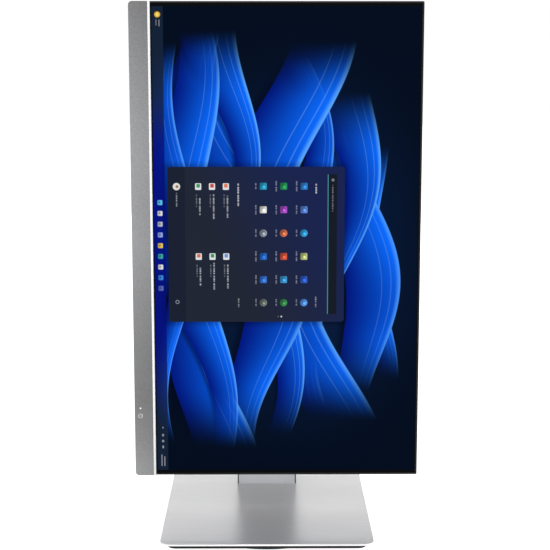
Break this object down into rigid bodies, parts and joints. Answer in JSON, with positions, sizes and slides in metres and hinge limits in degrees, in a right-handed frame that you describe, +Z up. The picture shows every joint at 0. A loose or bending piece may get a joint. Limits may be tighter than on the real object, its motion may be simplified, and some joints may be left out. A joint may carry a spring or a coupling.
{
  "type": "computer monitor",
  "caption": "Flat-panel computer monitor held upright on a rectangular-base stand with height, tilt, pivot and swivel adjustment.",
  "frame": {"origin": "on the desk, on the swivel axis of the base, at the underside of the rubber pad", "axes": "+Z up, the viewer sits on the -Y side and +X is to the viewer's right; the screen is shown turned upright with its chin on the -X side"},
  "size_m": [0.325, 0.27, 0.595],
  "materials": {
    "rubber": "matt anti-slip",
    "black_moulding": "fine textured",
    "acetal": "smooth low-friction",
    "zinc_steel": "zinc-plated sheet",
    "dark_steel": "black e-coat",
    "brushed_plate": "fine horizontal brushing",
    "column_plate": "satin silver",
    "extrusion": "anodised",
    "casting": "die-cast",
    "gas_tube": "gloss black",
    "rod_chrome": "hard chromed",
    "fastener": "zinc-plated",
    "rear_moulding": "fine spark texture",
    "surround": "satin",
    "chin_paint": "silver satin paint",
    "trim_polish": "polished bevel",
    "lcd": "anti-glare screen",
    "midframe": "white",
    "film": "translucent film",
    "acrylic": "clear acrylic",
    "led_pcb": "white strip with lamps",
    "pcb_green": "solder mask",
    "socket_metal": "nickel shell",
    "inlet": "moulded",
    "flex": "polyimide ribbon",
    "button": "silver key",
    "led_lens": "clear lens"
  },
  "bodies": {
    "foot": {"foot_rubber_pad": "rubber", "turntable_foot": "black_moulding", "bearing_ring": "acetal"},
    "stand": {"swivel_plate": "zinc_steel", "swivel_spindle": "zinc_steel", "swivel_nut": "fastener", "swivel_screws": "fastener", "base_tray": "black_moulding", "base_ballast": "dark_steel", "base_plate": "brushed_plate", "column_screws": "fastener", "column_foot": "casting", "column_shell": "black_moulding", "column_front_plate": "column_plate", "column_rear_cover": "black_moulding", "column_collar": "black_moulding", "guide_rails": "zinc_steel", "gas_spring_rod": "rod_chrome"},
    "lift": {"inner_column": "extrusion", "glide_pads": "acetal", "gas_spring_cylinder": "gas_tube", "column_cap": "black_moulding", "tilt_bracket": "dark_steel", "tilt_bracket_screws": "fastener", "tilt_shaft": "zinc_steel", "tilt_washers": "acetal", "tilt_nuts": "fastener", "hinge_cover": "black_moulding"},
    "yoke": {"tilt_yoke": "dark_steel", "pivot_washers": "acetal"},
    "display": {"pivot_hub": "zinc_steel", "pivot_retainer": "fastener", "mount_plate": "dark_steel", "mount_screws": "fastener", "rear_cover": "rear_moulding", "rear_cover_screws": "fastener", "outer_frame": "surround", "chin_cover": "chin_paint", "chin_trim": "trim_polish", "lcd_cell": "lcd", "panel_midframe": "midframe", "optical_sheets": "film", "light_guide": "acrylic", "backlight_tray": "zinc_steel", "led_bar": "led_pcb", "chassis_plate": "zinc_steel", "vesa_bracket": "zinc_steel", "main_board": "pcb_green", "power_board": "pcb_green", "board_screws": "fastener", "power_inlet": "inlet", "signal_sockets": "socket_metal", "driver_board": "pcb_green", "panel_flex": "flex", "key_board": "pcb_green", "power_led_lens": "led_lens"},
    "power_key": {"power_button": "button"},
    "menu_key_1": {"menu_button_1": "black_moulding"},
    "menu_key_2": {"menu_button_2": "black_moulding"},
    "menu_key_3": {"menu_button_3": "black_moulding"}
  },
  "joints": [
    {"name": "swivel", "type": "hinge", "parent": "foot", "child": "stand", "pos_m": [0, 0, 0.009], "axis": [0, 0, 1], "range_deg": [-45, 45]},
    {"name": "height", "type": "slide", "parent": "stand", "child": "lift", "axis": [0, 0, 1], "range_m": [-0.03, 0.07]},
    {"name": "tilt", "type": "hinge", "parent": "lift", "child": "yoke", "pos_m": [0, 0.062, 0.326], "axis": [-1, 0, 0], "range_deg": [-5, 20]},
    {"name": "pivot", "type": "hinge", "parent": "yoke", "child": "display", "pos_m": [0, 0.04, 0.326], "axis": [0, -1, 0], "range_deg": [0, 90]},
    {"name": "power_press", "type": "slide", "parent": "display", "child": "power_key", "axis": [0, 1, 0], "range_m": [0, 0.0005], "stiffness_N_per_m": 1500, "springref_m": -0.0005},
    {"name": "menu_press_1", "type": "slide", "parent": "display", "child": "menu_key_1", "axis": [0, -1, 0], "range_m": [0, 0.0005], "stiffness_N_per_m": 1500, "springref_m": -0.0005},
    {"name": "menu_press_2", "type": "slide", "parent": "display", "child": "menu_key_2", "axis": [0, -1, 0], "range_m": [0, 0.0005], "stiffness_N_per_m": 1500, "springref_m": -0.0005},
    {"name": "menu_press_3", "type": "slide", "parent": "display", "child": "menu_key_3", "axis": [0, -1, 0], "range_m": [0, 0.0005], "stiffness_N_per_m": 1500, "springref_m": -0.0005}
  ]
}
